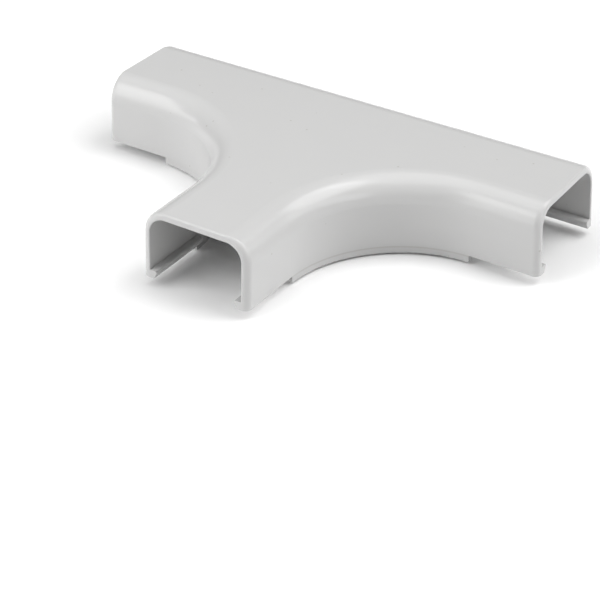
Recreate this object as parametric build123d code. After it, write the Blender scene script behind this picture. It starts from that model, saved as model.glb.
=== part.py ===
"""Tee cover for a surface raceway, moulded in one piece and open underneath.

The run lies along X and the branch leaves it towards -Y. The origin is on the mounting surface,
under the point where the centre lines of the run and the branch cross. Lengths are in millimetres.
"""
import os
from math import cos, radians, sin, tan

from build123d import *

# The three arms
arm_width = 22.9        # outside, across each arm
cover_height = 15.4     # from the mounting surface to the flat top
arm_reach = 48.5        # from the crossing to a mouth, measured at half height
mouth_lean = 3.3        # degrees by which a mouth leans back towards the top
arm_headings = (0, 180, -90)  # degrees: right end of the run, left end of the run, branch

# The shell
side_wall = 1.55
top_wall = 1.35
bend_radius = 25.4      # inner face of the two curved walls: the least radius a fibre may bend to
crown_radius = 4.85     # outer rounding between the walls and the top
corner_rounding = 1.3   # outer rounding of each mouth up its walls
lip_rounding = 0.35     # outer rounding of each mouth over the flat top
fade_start = 25         # degrees round the crown, where the one begins to fade into the other
rim_rounding = 0.2      # inner rounding round each mouth
foot_rounding = 0.35    # outer rounding along the foot of the skirt

# The skirt: the wall reaches the mounting surface between the arms and is cut short along each arm
end_lift = 1.7          # height of the cut, and of the skirt's lowest band
skirt_reach = 34.65     # from the crossing to the step where the cut begins
band_inset = 0.12       # the lowest band stands this far in from the wall above it

# The catches inside each mouth, one along the foot of each wall: flat on top, and slanting back
# below, so that they ride over what they snap onto
catch_width = 1.65       # in from the wall, along the top
catch_foot_width = 0.85  # in from the wall, along the foot
catch_height = 1.6       # up from the cut edge of the wall
catch_rounding = 0.35    # on the upper inner edge

# Derived sizes
inner_width = arm_width - 2 * side_wall
outer_bend_radius = bend_radius - side_wall
inner_crown_radius = crown_radius - side_wall
overrun = 10.0          # how far cutting shapes run past what they cut
clearance = 0.6         # the same for the small ones that round the lips


def tee_plan(width, corner_radius):
    """Plan of a tee of this arm width, with the two inside corners swept round by a large arc.

    The arms run on past the mouths, which are cut afterwards.
    """
    length = arm_reach + overrun
    run = Rectangle(2 * length, width)
    branch = Rectangle(width, length, align=(Align.CENTER, Align.MAX))
    tee = run + branch
    corners = [
        vertex
        for vertex in tee.vertices()
        if abs(abs(vertex.X) - width / 2) < 0.01 and abs(vertex.Y + width / 2) < 0.01
    ]
    return fillet(corners, corner_radius)


def tee_block(width, corner_radius, height, top_radius):
    """Solid tee with its long top edges rounded and its arm ends left square."""
    block = extrude(tee_plan(width, corner_radius), height)
    top_face = block.faces().sort_by(Axis.Z)[-1]
    arm_end = arm_reach + overrun
    long_edges = [
        edge
        for edge in top_face.edges()
        if abs(edge.center().X) < arm_end - 0.01 and edge.center().Y > -arm_end + 0.01
    ]
    return fillet(long_edges, top_radius)


def on_each_arm(shape):
    """Copies of a shape made for an arm along +X, one on each of the three arms."""
    return [Rot(Z=heading) * shape for heading in arm_headings]


def at_mouth(shape):
    """Leans a shape back and moves it from the origin to the mouth of an arm along +X."""
    return Pos(X=arm_reach, Z=cover_height / 2) * Rot(Y=-mouth_lean) * shape


def beyond_mouth():
    """Everything past the leaning plane of one mouth, for an arm along +X."""
    size = 2 * (arm_width + cover_height + overrun)
    return at_mouth(Box(size, size, size, align=(Align.MIN, Align.CENTER, Align.CENTER)))


def lip_section(turn, radius):
    """What a lip of this radius takes away, in a plane across it, at this turn round the crown.

    The edge that it rounds is at the origin, with the mouth facing +X and the outside +Y. The turn is
    0 on the walls, which are square to the mouth, and 90 on the top, from which the mouth leans back.
    """
    slope = radians(mouth_lean) * sin(radians(turn))
    reach = radius * tan(radians(45) - slope / 2)
    outline = [
        (-reach * cos(slope), reach * sin(slope)),
        (-reach * cos(slope), reach * sin(slope) + clearance),
        (clearance, clearance),
        (clearance, -reach),
        (0, -reach),
    ]
    return Polygon(*outline, align=None) - Pos(-radius, -reach) * Circle(radius)


def half_lip():
    """What the lip takes away on one side of a mouth whose middle is at the origin.

    One bar runs up the wall, one fades round the crown, and one crosses the top to its middle.
    """
    crown_side = arm_width / 2 - crown_radius
    crown_level = cover_height / 2 / cos(radians(mouth_lean)) - crown_radius
    crown_centre = Pos(Y=crown_side, Z=crown_level)
    stations = ((0, corner_rounding), (fade_start, corner_rounding), (90, lip_rounding))
    sections = [
        crown_centre * Rot(X=turn) * Pos(Y=crown_radius) * lip_section(turn, radius)
        for turn, radius in stations
    ]
    path = crown_centre * (Plane.YZ * CenterArc((0, 0), crown_radius, 0, 90))
    return [
        extrude(sections[0], cover_height, dir=(0, 0, -1)),
        sweep(sections, path=path, multisection=True),
        extrude(sections[-1], crown_side, dir=(0, -1, 0)),
    ]


def rounded_lips(block):
    """Rounds the outer edge of each mouth, from one foot over the top to the other."""
    for bar in half_lip():
        near = at_mouth(bar)
        block -= on_each_arm(near) + on_each_arm(mirror(near, Plane.XZ))
    return block


def rounded_foot(body):
    """Rounds the outer edge along the foot of the skirt."""
    return fillet(body.edges().group_by(Axis.Z)[0], foot_rounding)


def rounded_rims(shell):
    """Rounds the inner edge of each mouth, from one foot over the ceiling to the other."""
    for heading in arm_headings:
        outward = Vector(1, 0, 0).rotate(Axis.Z, heading)
        flat_faces = shell.faces().filter_by(GeomType.PLANE)
        mouth = flat_faces.sort_by(lambda face: face.center().dot(outward))[-1]
        crosswise = Vector(0, 1, 0).rotate(Axis.Z, heading)
        rim = [
            edge
            for edge in mouth.edges()
            if abs(edge.center().dot(crosswise)) < inner_width / 2 + 0.01
            and edge.center().Z < cover_height - top_wall + 0.01
        ]
        shell = fillet(rim, rim_rounding)
    return shell


def catch_pair():
    """The two catches of one arm along +X, running from the step past the mouth.

    Each is rooted halfway into its wall, so that the two join as one moulding.
    """
    root = inner_width / 2 + side_wall / 2
    foot = inner_width / 2 - catch_foot_width
    tip = inner_width / 2 - catch_width
    top = end_lift + catch_height
    section = Polygon((foot, end_lift), (root, end_lift), (root, top), (tip, top), align=None)
    upper_inner = section.vertices().group_by(Axis.Y)[-1].sort_by(Axis.X)[0]
    section = Plane.YZ * fillet(upper_inner, catch_rounding)
    length = arm_reach + overrun - skirt_reach
    bar = Pos(X=skirt_reach) * extrude(section, length, dir=(1, 0, 0))
    return [bar, mirror(bar, Plane.XZ)]


def tee_cover():
    outside = tee_block(arm_width, outer_bend_radius, cover_height, crown_radius)
    outside -= on_each_arm(beyond_mouth())
    outside = rounded_lips(outside)

    # the cut that lifts the wall ends off the mounting surface
    lift_length = arm_reach + overrun - skirt_reach
    lift = Pos(X=skirt_reach) * Box(
        lift_length, arm_width + overrun, end_lift, align=(Align.MIN, Align.CENTER, Align.MIN)
    )
    body = outside - on_each_arm(lift)

    # the shallow step along the foot of the skirt
    band = tee_plan(arm_width, outer_bend_radius) - tee_plan(
        arm_width - 2 * band_inset, outer_bend_radius + band_inset
    )
    body -= extrude(band, end_lift)
    body = rounded_foot(body)

    inside = tee_block(inner_width, bend_radius, cover_height - top_wall, inner_crown_radius)
    shell = rounded_rims(body - inside)

    # what the outer form leaves of the catches, so that they end flush with the mouths and lips
    return shell + [catch & outside for bar in catch_pair() for catch in on_each_arm(bar)]


os.makedirs("parts", exist_ok=True)
export_step(tee_cover(), "parts/tee_cover.step")
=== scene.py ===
"""A tee cover for a surface raceway, standing on a pale floor in soft studio light. Lengths are in metres."""
import math

import bmesh
import bpy
from mathutils import Matrix, Vector

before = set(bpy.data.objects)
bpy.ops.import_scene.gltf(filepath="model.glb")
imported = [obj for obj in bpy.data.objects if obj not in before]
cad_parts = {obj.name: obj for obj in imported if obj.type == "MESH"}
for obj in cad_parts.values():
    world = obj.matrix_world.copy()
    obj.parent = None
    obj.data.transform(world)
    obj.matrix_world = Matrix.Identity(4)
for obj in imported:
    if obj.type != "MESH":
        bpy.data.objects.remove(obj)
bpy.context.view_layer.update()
mm = 0.001


# The cover is one injection moulding in light grey plastic. The tool that shaped it was finely
# textured, so it shines softly, and a few dark grains were baked into it. It is fixed by snapping
# into place, so it has no screw and no other piece.
plastic_grey = (0.616, 0.615, 0.611, 1.0)
plastic_grey_deep = (0.601, 0.600, 0.597, 1.0)
# the dark grains' colour, also used for the painted shade line under the skirt's step
grain_and_shade_brown = (0.50, 0.49, 0.47, 1.0)
plastic_roughness = 0.20
roughness_spread = 0.03
cloud_width = 9 * mm
gloss_cloud_width = 3.6 * mm
grain_spacing = 3.6 * mm
grain_radius = 0.26 * mm
# where, how wide and how dark the painted shade line under the skirt's step is
step_shade_height = 1.5 * mm
step_shade_width = 0.25 * mm
step_shade_depth = 0.6
tool_texture_width = 0.16 * mm
tool_texture_depth = 0.0012 * mm
ripple_width = 5 * mm
ripple_depth = 0.004 * mm


class Signal:
    """The output of a shader node. Arithmetic on it adds Math nodes, and node() adds any other kind."""

    def __init__(self, socket):
        self.socket = socket

    @staticmethod
    def node(tree, kind, settings, sockets, output):
        """Adds a node. Settings are set first, then sockets, by identifier, get a value or a link."""
        added = tree.nodes.new(kind)
        for name, value in settings.items():
            setattr(added, name, value)
        by_identifier = {socket.identifier: socket for socket in added.inputs}
        for name, value in sockets.items():
            if isinstance(value, Signal):
                tree.links.new(value.socket, by_identifier[name])
            else:
                by_identifier[name].default_value = value
        return Signal(next(socket for socket in added.outputs if socket.identifier == output))

    def combined(self, operation, first, second):
        tree = self.socket.node.id_data
        sockets = {"Value": first, "Value_001": second}
        return Signal.node(tree, "ShaderNodeMath", {"operation": operation}, sockets, "Value")

    def __add__(self, other):
        return self.combined("ADD", self, other)

    def __sub__(self, other):
        return self.combined("SUBTRACT", self, other)

    def __rsub__(self, other):
        return self.combined("SUBTRACT", other, self)

    def __mul__(self, other):
        return self.combined("MULTIPLY", self, other)

    def magnitude(self):
        return self.combined("ABSOLUTE", self, 0.0)

    def above(self, limit):
        return self.combined("GREATER_THAN", self, limit)

    __radd__ = __add__
    __rmul__ = __mul__


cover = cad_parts["tee_cover"]
plastic = bpy.data.materials.new("moulded_plastic_look")
plastic.use_nodes = True
mix = plastic.node_tree
shader = mix.nodes["Principled BSDF"]
place = Signal.node(mix, "ShaderNodeTexCoord", {}, {}, "Object")


def cloud(width, detail):
    """Soft noise between 0 and 1, with blotches of about this width."""
    sockets = {"Vector": place, "Scale": 1 / width, "Detail": detail, "Roughness": 0.5}
    return Signal.node(mix, "ShaderNodeTexNoise", {}, sockets, "Fac")


def near_only(distance, reach):
    """1 within half this reach, and 0 beyond it."""
    sockets = {
        "Value": distance,
        "From Min": 0.5 * reach,
        "From Max": reach,
        "To Min": 1.0,
        "To Max": 0.0,
    }
    settings = {"interpolation_type": "SMOOTHSTEP"}
    return Signal.node(mix, "ShaderNodeMapRange", settings, sockets, "Result")


# the resin is a little uneven in tone, as it flowed
flow = cloud(cloud_width, detail=3.0)
colour = {"Factor_Float": flow, "A_Color": plastic_grey_deep, "B_Color": plastic_grey}
resin = Signal.node(mix, "ShaderNodeMix", {"data_type": "RGBA"}, colour, "Result_Color")

# dark grains lie anywhere in it, and few of them reach the surface
sockets = {"Vector": place, "Scale": 1 / grain_spacing}
to_grain = Signal.node(mix, "ShaderNodeTexVoronoi", {}, sockets, "Distance")
grain = near_only(to_grain, grain_radius / grain_spacing)
colour = {"Factor_Float": grain, "A_Color": resin, "B_Color": grain_and_shade_brown}
speckled = Signal.node(mix, "ShaderNodeMix", {"data_type": "RGBA"}, colour, "Result_Color")

# painted shade: a fine dark line in the corner under the skirt's step, only to the right of the branch,
# stands in for the step's shadow there
height = Signal.node(mix, "ShaderNodeSeparateXYZ", {}, {"Vector": place}, "Z")
across = Signal.node(mix, "ShaderNodeSeparateXYZ", {}, {"Vector": place}, "X")
step_shade_band = near_only((height - step_shade_height).magnitude(), step_shade_width)
painted_step_shade = step_shade_band * across.above(0.0) * step_shade_depth
colour = {"Factor_Float": painted_step_shade, "A_Color": speckled, "B_Color": grain_and_shade_brown}
with_step_shade = Signal.node(mix, "ShaderNodeMix", {"data_type": "RGBA"}, colour, "Result_Color")
mix.links.new(with_step_shade.socket, shader.inputs["Base Color"])

# the gloss is a little uneven too
gloss = plastic_roughness + (cloud(gloss_cloud_width, detail=2.0) - 0.5) * roughness_spread
mix.links.new(gloss.socket, shader.inputs["Roughness"])

# fine tool texture over faint ripples
relief = {"Height": cloud(ripple_width, detail=1.0), "Distance": ripple_depth, "Strength": 1.0}
ripples = Signal.node(mix, "ShaderNodeBump", {}, relief, "Normal")
relief = {
    "Height": cloud(tool_texture_width, detail=1.0),
    "Distance": tool_texture_depth,
    "Strength": 1.0,
    "Normal": ripples,
}
texture = Signal.node(mix, "ShaderNodeBump", {}, relief, "Normal")
mix.links.new(texture.socket, shader.inputs["Normal"])
cover.material_slots[0].material = plastic

# The floor is a wide sheet of matt white board. The camera sees it a little paler, so that it is plain
# white wherever no shadow falls. It lies a hair below the cover's foot, as under a moulding that is never
# quite flat.
board_white = (0.8, 0.8, 0.8, 1.0)
board_half_width = 3.0
foot_gap = 0.3 * mm
board_gain = 1.25
floor_mesh = bpy.data.meshes.new("floor")
sheet = bmesh.new()
under_foot = Matrix.Translation((0, 0, -foot_gap))
bmesh.ops.create_grid(sheet, x_segments=1, y_segments=1, size=board_half_width, matrix=under_foot)
sheet.to_mesh(floor_mesh)
sheet.free()
floor = bpy.data.objects.new("floor", floor_mesh)
bpy.context.scene.collection.objects.link(floor)
board = bpy.data.materials.new("white_board")
board.use_nodes = True
paper = board.node_tree
paper.nodes.remove(paper.nodes["Principled BSDF"])
bounced = Signal.node(paper, "ShaderNodeBsdfDiffuse", {}, {"Color": board_white}, "BSDF")
board_seen = (*(board_gain * part for part in board_white[:3]), 1.0)
seen = Signal.node(paper, "ShaderNodeBsdfDiffuse", {}, {"Color": board_seen}, "BSDF")
camera_ray = Signal.node(paper, "ShaderNodeLightPath", {}, {}, "Is Camera Ray")
glossy_ray = Signal.node(paper, "ShaderNodeLightPath", {}, {}, "Is Glossy Ray")
transmission_ray = Signal.node(paper, "ShaderNodeLightPath", {}, {}, "Is Transmission Ray")
shaders = {"Fac": camera_ray + glossy_ray + transmission_ray, "Shader": bounced, "Shader_001": seen}
both = Signal.node(paper, "ShaderNodeMixShader", {}, shaders, "Shader")
paper.links.new(both.socket, paper.nodes["Material Output"].inputs["Surface"])
floor.data.materials.append(board)

# Plain soft light, all from studio lamps: a near softbox on the left and a larger round one on the right,
# which draw the lights along the crown, and weaker panels low down on both sides, above and behind.
camera_azimuth = math.radians(33.482)


def lamp_towards(name, shape, azimuth, elevation, distance, size, radiance):
    """A soft lamp facing the crossing. Its azimuth is counted from the camera's, to the right."""
    width, height = size
    turn = camera_azimuth + math.radians(azimuth)
    rise = math.radians(elevation)
    towards = Vector(
        (math.sin(turn) * math.cos(rise), -math.cos(turn) * math.cos(rise), math.sin(rise))
    )
    data = bpy.data.lights.new(name, "AREA")
    data.shape = shape
    data.size = width
    data.size_y = height
    area = width * height * (math.pi / 4 if shape == "ELLIPSE" else 1)
    data.energy = radiance * math.pi * area
    lamp = bpy.data.objects.new(name, data)
    bpy.context.scene.collection.objects.link(lamp)
    facing = towards.to_track_quat("Z", "Y").to_matrix().to_4x4()
    lamp.matrix_world = Matrix.Translation(towards * distance) @ facing
    lamp.visible_camera = False


lamp_towards(
    "left_softbox", "RECTANGLE", azimuth=-72, elevation=37, distance=0.5, size=(0.344, 0.325), radiance=3.4
)
lamp_towards(
    "right_softbox", "ELLIPSE", azimuth=88, elevation=53, distance=0.9, size=(0.727, 0.727), radiance=3.48
)
lamp_towards(
    "left_low_panel", "RECTANGLE", azimuth=-75, elevation=12, distance=0.6, size=(0.800, 0.170), radiance=2.4
)
lamp_towards(
    "right_low_panel", "RECTANGLE", azimuth=65, elevation=22, distance=0.9, size=(1.260, 0.383), radiance=1.9
)
lamp_towards(
    "top_panel", "RECTANGLE", azimuth=0, elevation=90, distance=1.0, size=(0.933, 0.933), radiance=1.63
)
lamp_towards(
    "back_panel", "RECTANGLE", azimuth=180, elevation=40, distance=1.2, size=(1.681, 1.119), radiance=0.1
)
world = bpy.data.worlds.new("studio")
bpy.context.scene.world = world
world.use_nodes = True
world.node_tree.nodes["Background"].inputs["Strength"].default_value = 0.0

# The camera stands where the photograph was taken from, a little above and to the right of the branch, and
# has the photograph's viewing angle.
camera_elevation = math.radians(33.353)
camera_roll = math.radians(-0.381)
camera_distance = 344.684 * mm
camera_right = -8.131 * mm
camera_up = -22.285 * mm
picture_pixels = 600
focal_pixels = 1747.43
sensor_millimetres = 36.0
back = Vector(
    (
        math.sin(camera_azimuth) * math.cos(camera_elevation),
        -math.cos(camera_azimuth) * math.cos(camera_elevation),
        math.sin(camera_elevation),
    )
)
level = Vector((math.cos(camera_azimuth), math.sin(camera_azimuth), 0))
upright = back.cross(level)
right = math.cos(camera_roll) * level + math.sin(camera_roll) * upright
up = back.cross(right)
camera_data = bpy.data.cameras.new("camera")
camera_data.sensor_width = sensor_millimetres
camera_data.lens = focal_pixels / picture_pixels * sensor_millimetres
camera_data.clip_start = 10 * mm
camera = bpy.data.objects.new("camera", camera_data)
bpy.context.scene.collection.objects.link(camera)
station = back * camera_distance + right * camera_right + up * camera_up
facing = Matrix((right, up, back)).transposed().to_4x4()
camera.matrix_world = Matrix.Translation(station) @ facing
bpy.context.scene.camera = camera
bpy.context.scene.view_settings.view_transform = "Standard"
